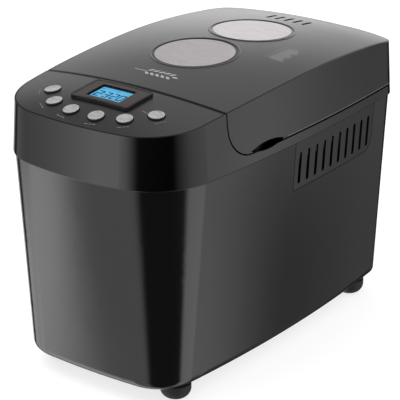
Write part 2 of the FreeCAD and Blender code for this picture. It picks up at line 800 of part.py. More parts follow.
def foot(x, y):
    """Rounded rubber foot, turned profile, with a sunk screw hole."""
    bulge = 0.35 * (foot_r - foot_sole_r)
    outline = [V(0, 0, 0), V(foot_sole_r, 0, 0)]
    mid = V(foot_r - bulge, 0, foot_height * 0.22)
    side = V(foot_r, 0, foot_height * 0.6)
    edges = [Part.LineSegment(outline[0], outline[1]).toShape(),
             Part.Arc(outline[1], mid, side).toShape(),
             Part.LineSegment(side, V(foot_r, 0, foot_height)).toShape(),
             Part.LineSegment(V(foot_r, 0, foot_height), V(0, 0, foot_height)).toShape(),
             Part.LineSegment(V(0, 0, foot_height), V(0, 0, 0)).toShape()]
    body = Part.Face(Part.Wire(edges)).revolve(V(0, 0, 0), V(0, 0, 1), 360)
    body.translate(V(x, y, 0))
    sunk = rod(4.6, x, y, -1, 7)
    hole = rod(screw_r + screw_play, x, y, 0, 60)
    return fuse(body.cut([sunk, hole]))


def feet():
    return group(*[foot(x, y) for x, y in foot_places])


def foot_screws():
    screws = []
    for x, y in foot_places:
        head = fillet_where(rod(4.0, x, y, 4.4, 7.0), 0.8, at_level(4.4))
        screws.append(fuse(head, rod(screw_r, x, y, 7.0, shell_bottom_z + 8)))
    return group(*screws)


def foot_nuts():
    nuts = []
    for x, y in foot_places:
        hexagon = Part.makePolygon([V(x + 4 * math.cos(math.radians(a)),
                                      y + 4 * math.sin(math.radians(a)),
                                      shell_bottom_z) for a in range(0, 361, 60)])
        nut = Part.Face(hexagon).extrude(V(0, 0, 3.2))
        nuts.append(nut.cut(rod(screw_r, x, y, 0, 60)))
    return group(*nuts)


# ---- chassis and drive -----------------------------------------------------------------
def chassis():
    """Inverted steel channel that carries the motor, the bearings and the chamber."""
    y0, y1 = chassis_y
    top = chassis_z + chassis_thick
    t = chassis_thick
    channel = box(-chassis_half, chassis_half, y0, y1, shell_bottom_z, top)
    hollow = box(-chassis_half + t, chassis_half - t, y0 - 1, y1 + 1, 0, chassis_z)
    housings = [rod(bearing_housing_r, 0, y, chassis_z, oven_floor_z - 3) for y in paddle_ys]
    bores = [rod(bearing_r, 0, y, 0, oven_floor_z) for y in paddle_ys]
    motor_hole = rod(motor_shaft_r + 7, 0, motor_y, 0, 100)
    body = channel.cut(hollow).fuse(housings).cut(bores + [motor_hole])
    return fuse(body)


def shaft_bearings():
    return group(*[ring(bearing_r, shaft_r + bearing_play, 0, y, chassis_z,
                        oven_floor_z - 2.5) for y in paddle_ys])


def standoff_places():
    return [(sx * 38.0, y) for y in (-62.0, 108.0) for sx in (-1, 1)]


def chamber_standoffs():
    z0, z1 = chassis_z + chassis_thick, oven_floor_z - oven_wall
    return group(*[ring(5.0, 1.7, x, y, z0, z1) for x, y in standoff_places()])


def drive_shaft(y, bottom):
    body = rod(shaft_r, 0, y, bottom, oven_floor_z + 4.5)
    clip = rod(shaft_r + 2.5, 0, y, oven_floor_z - 2.2, oven_floor_z - 1.2)
    return fuse(body, clip)


def drive_coupling(y):
    """Dog coupling on top of a drive shaft, inside the chamber."""
    z0 = oven_floor_z + 1.5
    plate = rod(coupling_r, 0, y, z0, z0 + 3)
    dogs = []
    for s in (1, -1):
        block = box(-3.2, 3.2, 5.2, coupling_r + 2, z0 + 3, z0 + 10)
        if s < 0:
            block = block.mirror(V(0, 0, 0), V(0, 1, 0))
        block.translate(V(0, y, 0))
        dogs.append(block.common(rod(coupling_r, 0, y, z0, z0 + 20)))
    return fuse(plate, *dogs).cut(rod(shaft_r, 0, y, 0, oven_floor_z + 4.5))


def pulley(r, y, z_range, bore, lip=flange_lip):
    """Flat-belt pulley with a lip at each edge."""
    z0, z1 = z_range
    t = pulley_lip_thick
    body = fuse(rod(r, 0, y, z0 - t, z1 + t), rod(r + lip, 0, y, z0 - t, z0 - 0.1),
                rod(r + lip, 0, y, z1 + 0.1, z1 + t))
    return body.cut(rod(bore, 0, y, 0, 100))


def main_pulley():
    y = paddle_ys[0]
    wheel = pulley(main_pulley_r, y, main_belt_z, shaft_r)
    z0, z1 = main_belt_z
    recess = ring(main_pulley_r - 5, 14, 0, y, z0 + 4, z1 + 5)
    holes = []
    for i in range(6):
        a = math.radians(60 * i)
        holes.append(rod(7.0, 26 * math.cos(a), y + 26 * math.sin(a), 0, 100))
    return fuse(wheel.cut([recess] + holes))


def belt(y_a, r_a, y_b, r_b, z_range):
    """Endless flat belt round two pulleys whose axes lie on the middle line, a before b."""
    def loop(extra):
        ra, rb = r_a + extra, r_b + extra
        span = y_b - y_a
        s = (ra - rb) / span
        c = math.sqrt(1 - s * s)
        z = z_range[0]
        a_r, b_r = V(ra * c, y_a + ra * s, z), V(rb * c, y_b + rb * s, z)
        a_l, b_l = V(-a_r.x, a_r.y, z), V(-b_r.x, b_r.y, z)
        edges = [Part.Arc(a_l, V(0, y_a - ra, z), a_r).toShape(),
                 Part.LineSegment(a_r, b_r).toShape(),
                 Part.Arc(b_r, V(0, y_b + rb, z), b_l).toShape(),
                 Part.LineSegment(b_l, a_l).toShape()]
        return Part.Face(Part.Wire(edges)).extrude(V(0, 0, z_range[1] - z_range[0]))
    return loop(belt_play + belt_thick).cut(loop(belt_play))


def motor_frame():
    z0 = chassis_z + chassis_thick
    y = motor_y
    bottom = ring(motor_r, motor_shaft_r + bearing_play, 0, y, z0, z0 + 8)
    top = ring(motor_r, motor_shaft_r + bearing_play, 0, y, z0 + 62, z0 + 70)
    core = ring(motor_r - 1.5, 21.0, 0, y, z0 + 8, z0 + 62)
    fins = []
    for i in range(12):
        a = 30 * i
        fin = box(motor_r - 12, motor_r - 0.2, -1.2, 1.2, z0 + 61.5, z0 + 66)
        fin.rotate(V(0, 0, 0), V(0, 0, 1), a)
        fin.translate(V(0, y, 0))
        fins.append(fin)
    boss = ring(9, motor_shaft_r + bearing_play, 0, y, z0 + 70, z0 + 73)
    top = top.cut(fins).fuse(boss)
    return group(bottom, core, fuse(top))


def motor_rotor():
    z0 = chassis_z + chassis_thick
    shaft = rod(motor_shaft_r, 0, motor_y, main_belt_z[0] - 1.5, z0 + 84)
    core = rod(20.2, 0, motor_y, z0 + 12, z0 + 58)
    return fuse(shaft, core)


def motor_fan():
    z0 = chassis_z + chassis_thick + 75
    hub = rod(9, 0, motor_y, z0, z0 + 8)
    blades = []
    for i in range(9):
        blade = box(7, 32, -0.8, 0.8, z0 + 0.5, z0 + 7.5)
        blade.rotate(V(0, 0, 0), V(0, 0, 1), 40 * i)
        blade.translate(V(0, motor_y, 0))
        blades.append(blade)
    plate = rod(32, 0, motor_y, z0 - 0.8, z0 + 0.6)
    return fuse(hub, plate, *blades).cut(rod(motor_shaft_r, 0, motor_y, 0, 300))


# ---- oven ------------------------------------------------------------------------------
def oven_chamber():
    t = oven_wall
    top = lid_bottom_z - shut_gap
    outer = rounded_block(oven_half_x + t, oven_half_y + t, oven_corner + t,
                          oven_floor_z - t, top, 0, oven_y)
    flange = rounded_block(oven_half_x + oven_flange, oven_half_y + oven_flange,
                           oven_corner + oven_flange, top - t, top, 0, oven_y)
    inner = rounded_block(oven_half_x, oven_half_y, oven_corner, oven_floor_z, far, 0, oven_y)
    holes = [rod(shaft_r + 4.5, 0, y, 0, oven_floor_z + 1) for y in paddle_ys]
    for sx in (-1, 1):
        holes.append(rod_y(element_r + 0.1, oven_y - oven_half_y - 3,
                           oven_y - oven_half_y + 1, sx * element_tail_x, element_z))
    holes.append(rod_y(3.1, oven_y - oven_half_y - 3, oven_y - oven_half_y + 1, 60, 130))
    return fuse(outer.fuse(flange).cut([inner] + holes))


def heating_element():
    """Tubular heater: an open loop round the pan, with both tails through the front wall."""
    hx, hy = element_half
    r = element_corner
    z = element_z
    y_front, y_back = oven_y - hy, oven_y + hy
    tail_end = oven_y - oven_half_y - 4.5
    bend = 6.0
    k, kb = r * (1 - math.sqrt(0.5)), bend * (1 - math.sqrt(0.5))
    tx = element_tail_x

    def seg(a, b):
        return Part.LineSegment(V(*a, z), V(*b, z)).toShape()

    def arc(a, m, b):
        return Part.Arc(V(*a, z), V(*m, z), V(*b, z)).toShape()
    edges = [
        seg((tx, tail_end), (tx, y_front - bend)),
        arc((tx, y_front - bend), (tx + kb, y_front - kb), (tx + bend, y_front)),
        seg((tx + bend, y_front), (hx - r, y_front)),
        arc((hx - r, y_front), (hx - k, y_front + k), (hx, y_front + r)),
        seg((hx, y_front + r), (hx, y_back - r)),
        arc((hx, y_back - r), (hx - k, y_back - k), (hx - r, y_back)),
        seg((hx - r, y_back), (-hx + r, y_back)),
        arc((-hx + r, y_back), (-hx + k, y_back - k), (-hx, y_back - r)),
        seg((-hx, y_back - r), (-hx, y_front + r)),
        arc((-hx, y_front + r), (-hx + k, y_front + k), (-hx + r, y_front)),
        seg((-hx + r, y_front), (-tx - bend, y_front)),
        arc((-tx - bend, y_front), (-tx - kb, y_front - kb), (-tx, y_front - bend)),
        seg((-tx, y_front - bend), (-tx, tail_end)),
    ]
    path = Part.Wire(edges)
    circle = Part.Wire(Part.makeCircle(element_r, V(tx, tail_end, z), V(0, 1, 0)))
    tube = path.makePipeShell([circle], True, False)
    pins = [rod_y(1.4, tail_end - 1.6, tail_end, sx * tx, z) for sx in (-1, 1)]
    return fuse(tube, *pins)


def element_brackets():
    """Saddles on the chamber wall that hold the heater."""
    clips = []
    for sx in (-1, 1):
        for y in (oven_y - 60, oven_y + 60):
            hx = element_half[0]
            x0 = min(sx * (hx - element_r - 1.5), sx * oven_half_x)
            x1 = max(sx * (hx - element_r - 1.5), sx * oven_half_x)
            block = box(x0, x1, y - 5, y + 5, element_z - element_r - 1.5, element_z + 2)
            clips.append(block.cut(rod_y(element_r, y - 10, y + 10, sx * hx, element_z))
                         .cut(box(sx * hx - element_r, sx * hx + element_r, y - 10, y + 10,
                                  element_z, element_z + 10)))
    return group(*[c for c in clips])


def temperature_sensor():
    y_wall = oven_y - oven_half_y
    probe = rod_y(3.0, y_wall - 5, y_wall + 12, 60, 130)
    tip = Part.makeSphere(3.0, V(60, y_wall + 12, 130))
    collar = rod_y(6.0, y_wall - 3, y_wall - oven_wall, 60, 130)
    return fuse(probe, tip, collar)


def thermal_fuse():
    """Cut-out clamped to the outside of the chamber's right wall."""
    x0 = oven_half_x + oven_wall
    strap = box(x0, x0 + 1.0, 10, 50, 150, 160)
    body = box(x0 + 1.0, x0 + 7.0, 20, 40, 151, 159)
    return fuse(strap, body)


def heat_shield():
    y = oven_y - oven_half_y - oven_wall - shield_gap
    plate = box(-88, 88, y, y + 1.0, chassis_z + chassis_thick, 232)
    foot_flange = box(-46, 46, y, y + 4, chassis_z + chassis_thick,
                      chassis_z + chassis_thick + 1.0)
    return fuse(plate, foot_flange)


def pan_clips():
    """Sprung clips on the chamber floor that grip the pan's foot ring."""
    hx, hy = pan_ring_half
    clips = []
    for sx in (-1, 1):
        for dy in (-40, 40):
            x = hx + 0.6
            leaf = box(x, x + 1.2, oven_y + dy - 9, oven_y + dy + 9, oven_floor_z,
                       oven_floor_z + 11)
            foot_tab = box(x, x + 12, oven_y + dy - 9, oven_y + dy + 9, oven_floor_z,
                           oven_floor_z + 1.2)
            clip = fuse(leaf, foot_tab)
            clips.append(clip if sx > 0 else mirror_x(clip))
    return group(*clips)


# ---- pan -------------------------------------------------------------------------------
def pan_form(inset, z0, z1):
    """The pan's tapered outer form, inset, between two heights."""
    def half(h, z):
        return h - pan_taper * (pan_rim_z - z) / (pan_rim_z - pan_bottom_z) - inset
    return tapered_block(half(pan_half_x, z0), half(pan_half_y, z0), pan_corner - inset, z0,
                         half(pan_half_x, z1), half(pan_half_y, z1), pan_corner - inset, z1,
                         0, oven_y)


def bread_pan():
    outer = pan_form(0, pan_bottom_z, pan_rim_z)
    outer = fillet_where(outer, 6.0, at_level(pan_bottom_z))
    rim = rounded_block(pan_half_x + pan_rim, pan_half_y + pan_rim, pan_corner + pan_rim,
                        pan_rim_z - 1.6, pan_rim_z, 0, oven_y)
    inner = pan_form(pan_wall, pan_bottom_z + pan_wall, pan_rim_z + 5)
    inner = fillet_where(inner, 5.0, at_level(pan_bottom_z + pan_wall))
    holes = [rod(6.0, 0, y, 0, 120) for y in paddle_ys]
    return fuse(outer.fuse(rim).cut([inner] + holes))


def pan_foot_ring():
    hx, hy = pan_ring_half
    t = pan_ring_wall
    outer = rounded_block(hx, hy, 18, pan_ring_z, pan_bottom_z, 0, oven_y)
    inner = rounded_block(hx - t, hy - t, 18 - t, 0, 200, 0, oven_y)
    return outer.cut(inner)


def pan_bush(y):
    """Sealed bush in the pan's floor for one paddle shaft."""
    body = fuse(rod(6.0, 0, y, pan_bottom_z - 1.2, pan_bottom_z + pan_wall + 4),
                rod(9.0, 0, y, pan_bottom_z + pan_wall, pan_bottom_z + pan_wall + 1.5),
                rod(9.0, 0, y, pan_bottom_z - 1.5, pan_bottom_z))
    return body.cut(rod(pan_shaft_r + bearing_play, 0, y, 0, 200))


def pan_bushes():
    return group(*[pan_bush(y) for y in paddle_ys])


def pan_ears():
    """Riveted ears on the pan's two ends that the handle pivots in."""
    ears = []
    core = pan_form(0, pan_bottom_z, pan_rim_z)
    for s in (-1, 1):
        y_out = oven_y + s * (pan_half_y + 4.2)
        y_in = oven_y + s * (pan_half_y - 3)
        block = box(-8, 8, min(y_in, y_out), max(y_in, y_out), bail_pivot_z - 9,
                    pan_rim_z - 1.6)
        hole = rod_y(bail_wire_r + bail_pin_play, oven_y - 200, oven_y + 200, 0,
                     bail_pivot_z)
        ears.append(block.cut([core, hole]))
    return group(*ears)


def pan_handle():
    """Wire bail, folded down on the pan's right rim."""
    y0, y1 = oven_y - bail_out, oven_y + bail_out
    pin = pan_half_y + 0.6
    p = [V(0, oven_y - pin, bail_pivot_z), V(0, y0, bail_pivot_z),
         V(bail_bar_x, y0, bail_bar_z), V(bail_bar_x, y1, bail_bar_z),
         V(0, y1, bail_pivot_z), V(0, oven_y + pin, bail_pivot_z)]
    radii = [4.0, bail_bend, bail_bend, 4.0]
    edges = []
    start = p[0]
    for i in range(1, 5):
        d_in = p[i] - p[i - 1]
        d_in.multiply(1 / d_in.Length)
        d_out = p[i + 1] - p[i]
        d_out.multiply(1 / d_out.Length)
        turn = d_in.getAngle(d_out)
        back = radii[i - 1] * math.tan(turn / 2)
        a, b = p[i] - d_in * back, p[i] + d_out * back
        bisector = d_out - d_in
        bisector.multiply(1 / bisector.Length)
        mid = p[i] + bisector * (radii[i - 1] / math.cos(turn / 2) - radii[i - 1])
        edges += [Part.LineSegment(start, a).toShape(), Part.Arc(a, mid, b).toShape()]
        start = b
    edges.append(Part.LineSegment(start, p[5]).toShape())
    circle = Part.Wire(Part.makeCircle(bail_wire_r, p[0], V(0, 1, 0)))
    return Part.Wire(edges).makePipeShell([circle], True, True)


def handle_grip():
    body = rod_y(grip_tube_r, oven_y - grip_tube_half, oven_y + grip_tube_half, bail_bar_x,
                 bail_bar_z)
    body = fillet_where(body, 1.5, lambda e: e.BoundBox.YLength < 0.01)
    return body.cut(rod_y(bail_wire_r, oven_y - 200, oven_y + 200, bail_bar_x, bail_bar_z))


def pan_shaft(y):
    """Shaft through the pan's floor, with a cross-bar that the drive coupling turns."""
    z0 = oven_floor_z + 5.0
    shaft = rod(pan_shaft_r, 0, y, z0, pan_bottom_z + 23)
    bar = box(-10, 10, -2.2, 2.2, z0, z0 + 6)
    bar.rotate(V(0, 0, 0), V(0, 0, 1), bar_angle)
    bar.translate(V(0, y, 0))
    key_flat = box(pan_shaft_r - 1.0, pan_shaft_r + 2, y - 5, y + 5, pan_bottom_z + 12,
                   pan_bottom_z + 30)
    return fuse(shaft, bar).cut(key_flat)


def paddle(y, turn):
    """Kneading paddle: hub with a D bore and one raked blade."""
    z0 = pan_bottom_z + pan_wall + 4.5
    hub = Part.makeCone(10, 7.5, 22, V(0, 0, z0))
    points = [(0, z0 + 0.5), (38, z0 + 0.5), (37, z0 + 15), (24, z0 + 30), (0, z0 + 20)]
    face = Part.Face(Part.makePolygon([V(a, -2, b) for a, b in points + points[:1]]))
    blade = face.extrude(V(0, 4, 0))
    blade = fillet_where(blade, 5.0,
                         lambda e: e.BoundBox.YLength > 3.9 and e.BoundBox.XMin > 20)
    body = hub.fuse(blade)
    body.rotate(V(0, 0, 0), V(0, 0, 1), turn)
    body.translate(V(0, y, 0))
    bore = rod(pan_shaft_r + 0.1, 0, y, 0, pan_bottom_z + 24.5)
    return fuse(body.cut(bore))


# ---- electrics -------------------------------------------------------------------------
def power_board():
    y = oven_y - oven_half_y - oven_wall - shield_gap
    board = box(-62, 62, y - 7.6, y - 6, 150, 222)
    spacers = [rod_y(2.5, y - 6, y, x, z) for x in (-56, 56) for z in (156, 216)]
    relay = box(-50, -24, y - 24, y - 7.6, 160, 180)
    transformer = box(-14, 20, y - 36, y - 7.6, 158, 186)
    heatsink = box(30, 54, y - 22, y - 7.6, 190, 214)
    capacitor = rod_y(7.0, y - 26, y - 7.6, -38, 202)
    connector = box(-14, 14, y - 18, y - 7.6, 200, 210)
    return fuse(board, relay, transformer, heatsink, capacitor, connector, *spacers)


def motor_capacitor():
    top = chassis_z + 58
    return fillet_where(rod(16.0, 72, -150, chassis_z, top), 2.0, at_level(top))


def capacitor_clamp():
    z0 = chassis_z + 14
    band = ring(17.2, 16.0, 72, -150, z0, z0 + 12)
    arm = box(chassis_half, 58, -156, -144, z0, z0 + 2)
    leg = box(chassis_half, chassis_half + 1.6, -156, -144, chassis_z - 10, z0 + 2)
    return fuse(band, arm.cut(rod(16.0, 72, -150, 0, 300)), leg)


def rear_y(x, z):
    """Outside of the metal shell's back face at x, z."""
    ray = Part.makeLine(V(x, 0, z), V(x, far, z))
    return shell_block(0).common(ray).BoundBox.YMax


def inlet_bush():
    """Flanged bush in the back wall that the mains lead comes in through."""
    y_wall = rear_y(inlet_x, inlet_z)
    y_end = y_wall + 5.0
    body = rod_y(inlet_r, y_end - inlet_length, y_end, inlet_x, inlet_z)
    flange = rod_y(inlet_r + 3.5, y_wall + 2.4, y_wall + 4.6, inlet_x, inlet_z)
    nut = rod_y(inlet_r + 3.5, y_wall - 8.5, y_wall - 5.0, inlet_x, inlet_z)
    bore = rod_y(inlet_bore_r, y_end - inlet_length - 1, y_end + 1, inlet_x, inlet_z)
    return fuse(body, flange, nut).cut(bore)


# ---- write -----------------------------------------------------------------------------
def all_parts():
    parts = {
        "lower_shell": lower_shell(),
        "upper_housing": upper_housing(),
        "control_cover": control_cover(),
        "display_bezel": display_bezel(),
        "display_window": display_window(),
        "lcd_module": lcd_module(),
        "control_board": control_board(),
        "side_vent_right": side_vent(1),
        "side_vent_left": side_vent(-1),
        "base_plate": base_plate(),
        "feet": feet(),
        "foot_fasteners": group(foot_screws(), foot_nuts()),
        "chassis": chassis(),
        "shaft_bearings": shaft_bearings(),
        "chamber_standoffs": chamber_standoffs(),
        "drive_shaft_front": drive_shaft(paddle_ys[0], main_belt_z[0] - 1.5),
        "drive_shaft_rear": drive_shaft(paddle_ys[1], sync_belt_z[0] - 1.5),
        "drive_coupling_front": drive_coupling(paddle_ys[0]),
        "drive_coupling_rear": drive_coupling(paddle_ys[1]),
        "main_pulley": main_pulley(),
        "sync_pulley_front": pulley(sync_pulley_r, paddle_ys[0], sync_belt_z, shaft_r),
        "sync_pulley_rear": pulley(sync_pulley_r, paddle_ys[1], sync_belt_z, shaft_r),
        "motor_frame": motor_frame(),
        "motor_rotor": motor_rotor(),
        "motor_pulley": pulley(motor_pulley_r, motor_y, main_belt_z, motor_shaft_r),
        "motor_fan": motor_fan(),
        "main_belt": belt(motor_y, motor_pulley_r, paddle_ys[0], main_pulley_r, main_belt_z),
        "sync_belt": belt(paddle_ys[0], sync_pulley_r, paddle_ys[1], sync_pulley_r,
                          sync_belt_z),
        "oven_chamber": oven_chamber(),
        "heating_element": heating_element(),
        "heat_sensors": group(temperature_sensor(), thermal_fuse()),
        "heat_shield": heat_shield(),
        "chamber_clips": group(pan_clips(), element_brackets()),
        "power_board": power_board(),
        "motor_capacitor": group(motor_capacitor(), capacitor_clamp()),
        "inlet_bush": inlet_bush(),
        "hinge_bracket": hinge_bracket(),
        "hinge_pins": hinge_pins(),
        "lid_shell": lid_shell(),
        "lid_top_panel": lid_top_panel(),
        "lid_liner": lid_liner(),
        "lid_seal": lid_seal(),
        "window_glass": group(*[window_glass(y) for y in window_ys]),
        "window_gaskets": window_gaskets(),
        "inner_panes": inner_panes(),
        "bread_pan": bread_pan(),
        "pan_foot_ring": pan_foot_ring(),
        "pan_fittings": group(pan_bushes(), pan_ears()),
        "pan_handle": pan_handle(),
        "handle_grip": handle_grip(),
        "pan_shaft_front": pan_shaft(paddle_ys[0]),
        "pan_shaft_rear": pan_shaft(paddle_ys[1]),
        "paddle_front": paddle(paddle_ys[0], 40),
        "paddle_rear": paddle(paddle_ys[1], 220),
    }
    return parts


def main():
    os.makedirs("parts", exist_ok=True)
    parts = all_parts()
    for i, (x, y) in enumerate(button_spots):
        parts["button_%d" % (i + 1)] = button(x, y)
    for name, shape in parts.items():
        solids = shape.Solids
        ok = all(s.isValid() for s in solids)
        print("%-22s solids %2d  valid %s  volume %.1f" % (name, len(solids), ok,
                                                          shape.Volume))
        shape.exportStep("parts/%s.step" % name)


main()
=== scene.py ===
# %% [markdown]
# # A bread machine, piece by piece
# The model of the machine is made first, as solids with real sizes. This lesson gives each
# solid its finish, then adds the small things that a maker puts on last: printed marks,
# the digits of the display, trim rings and beads. Everything is in metres: X is the
# machine's right, Y its back and Z up.

# %% Load the solids
import bpy
import bmesh
import json
import math
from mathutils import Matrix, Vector
from mathutils.bvhtree import BVHTree


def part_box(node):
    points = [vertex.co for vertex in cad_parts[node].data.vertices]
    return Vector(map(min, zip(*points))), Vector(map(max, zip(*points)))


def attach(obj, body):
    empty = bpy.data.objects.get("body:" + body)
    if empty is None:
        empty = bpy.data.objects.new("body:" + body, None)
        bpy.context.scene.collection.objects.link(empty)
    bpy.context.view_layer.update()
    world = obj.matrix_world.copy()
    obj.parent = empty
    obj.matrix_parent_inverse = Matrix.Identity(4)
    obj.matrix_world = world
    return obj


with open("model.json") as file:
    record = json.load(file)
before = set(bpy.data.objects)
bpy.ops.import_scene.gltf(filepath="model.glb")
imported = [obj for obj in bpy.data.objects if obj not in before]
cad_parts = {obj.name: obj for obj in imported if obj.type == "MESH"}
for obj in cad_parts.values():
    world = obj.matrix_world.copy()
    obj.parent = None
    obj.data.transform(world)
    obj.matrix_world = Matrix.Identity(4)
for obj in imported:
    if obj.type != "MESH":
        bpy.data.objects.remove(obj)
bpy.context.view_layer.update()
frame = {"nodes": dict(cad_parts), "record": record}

nodes = frame["nodes"]

# %% [markdown]
# The camera stands in front of the machine and to its right, a little above the lid. A long
# lens keeps the upright edges nearly parallel, as a catalogue picture does. It could be
# placed by hand, but a distance and two angles are easier to keep true.

# %% The camera
look_at = Vector((0.0, -0.0086, 0.1469))
camera_turn, camera_rise, camera_distance = math.radians(37.1), math.radians(21.8), 2.003
toward = Vector((math.sin(camera_turn) * math.cos(camera_rise),
                 -math.cos(camera_turn) * math.cos(camera_rise), math.sin(camera_rise)))
camera_data = bpy.data.cameras.new("camera")
camera_data.lens = 171.0
camera_data.sensor_width = 36.0
camera_data.clip_end = 50.0
camera = bpy.data.objects.new("camera", camera_data)
camera.location = look_at + toward * camera_distance
camera.rotation_euler = (-toward).to_track_quat("-Z", "Y").to_euler()
bpy.context.collection.objects.link(camera)
bpy.context.scene.camera = camera
bpy.context.scene.view_settings.view_transform = "Standard"
print("camera at", [round(v, 3) for v in camera.location])

# %% [markdown]
# A finish is a chain of nodes. The chain could be joined by hand, line by line, but one
# helper that adds a node, sets its sockets and joins it to what feeds it is easier to read.

# %% A helper for nodes
def add_node(tree, kind, inputs=None, **settings):
    """A new shader node; an input is a plain value, or another node's output to join."""
    node = tree.nodes.new(kind)
    for key, value in settings.items():
        setattr(node, key, value)
    for key, value in (inputs or {}).items():
        if isinstance(value, bpy.types.NodeSocket):
            tree.links.new(value, node.inputs[key])
        else:
            node.inputs[key].default_value = value
    return node


def blank_material(name):
    material = bpy.data.materials.new(name)
    material.use_nodes = True
    tree = material.node_tree
    for old in list(tree.nodes):
        tree.nodes.remove(old)
    return material, tree


# %% [markdown]
# The machine stands on a plain pale floor. A white floor would still turn grey away from
# the lamps, so this one gives off a little light of its own. Glossy walls don't mirror it.

# %% The floor
floor_mesh = bpy.data.meshes.new("floor")
floor_half, floor_grey, floor_light = 6.0, (0.36, 0.36, 0.36, 1), 0.72
floor_mesh.from_pydata([(-floor_half, -floor_half, 0), (floor_half, -floor_half, 0),
                        (floor_half, floor_half, 0), (-floor_half, floor_half, 0)],
                       [], [(0, 1, 2, 3)])
floor = bpy.data.objects.new("floor", floor_mesh)
bpy.context.collection.objects.link(floor)
floor_paint, tree = blank_material("floor_paint")
floor_shader = add_node(tree, "ShaderNodeBsdfPrincipled",
                        {"Base Color": floor_grey, "Roughness": 0.9,
                         "Specular IOR Level": 0.1, "Emission Color": (1, 1, 1, 1),
                         "Emission Strength": floor_light})
tree.links.new(floor_shader.outputs[0],
               add_node(tree, "ShaderNodeOutputMaterial").inputs["Surface"])
floor_mesh.materials.append(floor_paint)
floor.visible_glossy = False
print("floor", floor_half * 2, "m wide")

# %% [markdown]
# Dark glossy metal shows the room more than its own colour, so the room is what gives this
# machine its long soft bands of light and dark. The room could be a ring of lamps, but a
# lamp has edges. Here it is three bands round the horizon: one that the leaning steel
# walls mirror, one that the upright housing mirrors, and one overhead that the lid
# mirrors. Straight looks at the background see plain white.

# %% The three bands of the room
# each stop: turn from -Y towards +X in degrees, brightness
low_band = [(-180, 0.02), (-150, 0.30), (-140, 0.80), (-119, 0.85), (-115, 0.02),
            (-103, 0.02), (-99, 1.00), (-75, 1.25), (-64, 1.60), (-54, 1.50), (-49, 1.10),
            (-45, 0.80), (-41, 0.55), (-37, 0.46), (0, 0.49), (7, 0.34), (15, 0.045),
            (92, 0.045), (101, 0.84), (130, 0.88), (134, 0.78), (137, 0.60), (140, 0.47),
            (143, 0.28), (147, 0.13), (151, 0.17), (164, 0.24), (168, 0.02), (180, 0.02)]
middle_band = [(-180, 0.02), (-150, 0.3), (-140, 0.55), (-119, 0.55), (-114, 0.02),
               (-103, 0.02), (-98, 0.36), (-64, 0.42), (-55, 0.53), (-42, 0.74),
               (-28, 1.05), (-16, 0.98), (-2, 0.50), (12, 0.02), (70, 0.002), (84, 0.22),
               (100, 0.45), (118, 0.55), (134, 0.64), (137, 0.84), (140, 0.80), (144, 0.62),
               (148, 0.44), (155, 0.30), (163, 0.30), (167, 0.03), (180, 0.02)]
# each stop: rise above the horizon in degrees, brightness
high_band = [(-8, 1.10), (8, 1.10), (12, 1.04), (16, 0.90), (20, 0.70), (24, 0.55),
             (28, 0.47), (32, 0.40), (40, 0.41), (60, 0.45), (90, 0.5)]
ramp_top = 2.0
lowest_rise, highest_rise = -10, 90
glow_turn, glow_rise, glow_spread, glow_strength = 219, 3, 13, 0.60
far_left_turns, far_left_share = (-147, -132), 0.6
low_to_middle, middle_to_high = (-27, -20), (-8, -2)


def brightness_ramp(tree, factor, stops, first, last):
    """Brightness read off a ramp whose stops run from first to last."""
    ramp = add_node(tree, "ShaderNodeValToRGB", {"Fac": factor})
    ends = ramp.color_ramp.elements
    while len(ends) > 1:
        ends.remove(ends[-1])
    for number, (at, bright) in enumerate(stops):
        place = (at - first) / (last - first)
        stop = ends[0] if number == 0 else ends.new(place)
        stop.position = place
        stop.color = (bright / ramp_top,) * 3 + (1.0,)
    return add_node(tree, "ShaderNodeMath", {0: ramp.outputs["Color"], 1: ramp_top},
                    operation="MULTIPLY").outputs[0]


def room_direction(turn, rise):
    """Unit vector at a turn from -Y towards +X and a rise above the horizon, in degrees."""
    t, r = math.radians(turn), math.radians(rise)
    return (math.sin(t) * math.cos(r), -math.cos(t) * math.cos(r), math.sin(r))


def blend(tree, amount, first, second):
    return add_node(tree, "ShaderNodeMix", {"Factor": amount, "A": first, "B": second},
                    data_type="FLOAT").outputs[0]


def step_up(tree, value, start, end):
    """Zero below start, one above end, smooth between."""
    return add_node(tree, "ShaderNodeMapRange",
                    {"Value": value, "From Min": start, "From Max": end},
                    interpolation_type="SMOOTHSTEP").outputs["Result"]


# %% [markdown]
# The world's nodes turn a direction into a turn and a rise, read the three bands, and
# blend them by the rise. One soft glow is added behind the machine, low over its far left.

# %% The room
world = bpy.data.worlds.new("room")
world.use_nodes = True
tree = world.node_tree
for old in list(tree.nodes):
    tree.nodes.remove(old)
look = add_node(tree, "ShaderNodeTexCoord").outputs["Generated"]
split = add_node(tree, "ShaderNodeSeparateXYZ", {0: look})
minus_y = add_node(tree, "ShaderNodeMath", {0: split.outputs["Y"], 1: -1.0},
                   operation="MULTIPLY").outputs[0]
turn = add_node(tree, "ShaderNodeMath", {0: split.outputs["X"], 1: minus_y},
                operation="ARCTAN2").outputs[0]
turn_share = add_node(tree, "ShaderNodeMapRange",
                      {"Value": turn, "From Min": -math.pi, "From Max": math.pi}
                      ).outputs["Result"]
rise = add_node(tree, "ShaderNodeMath", {0: split.outputs["Z"]}, operation="ARCSINE"
                ).outputs[0]
rise_share = add_node(tree, "ShaderNodeMapRange",
                      {"Value": rise, "From Min": math.radians(lowest_rise),
                       "From Max": math.radians(highest_rise)}).outputs["Result"]
low = brightness_ramp(tree, turn_share, low_band, -180, 180)
middle = brightness_ramp(tree, turn_share, middle_band, -180, 180)
high = brightness_ramp(tree, rise_share, high_band, lowest_rise, highest_rise)
near_glow = add_node(tree, "ShaderNodeVectorMath",
                     {0: look, 1: room_direction(glow_turn, glow_rise)},
                     operation="DOT_PRODUCT").outputs["Value"]
in_glow = step_up(tree, near_glow, math.cos(math.radians(glow_spread)), 1.0)
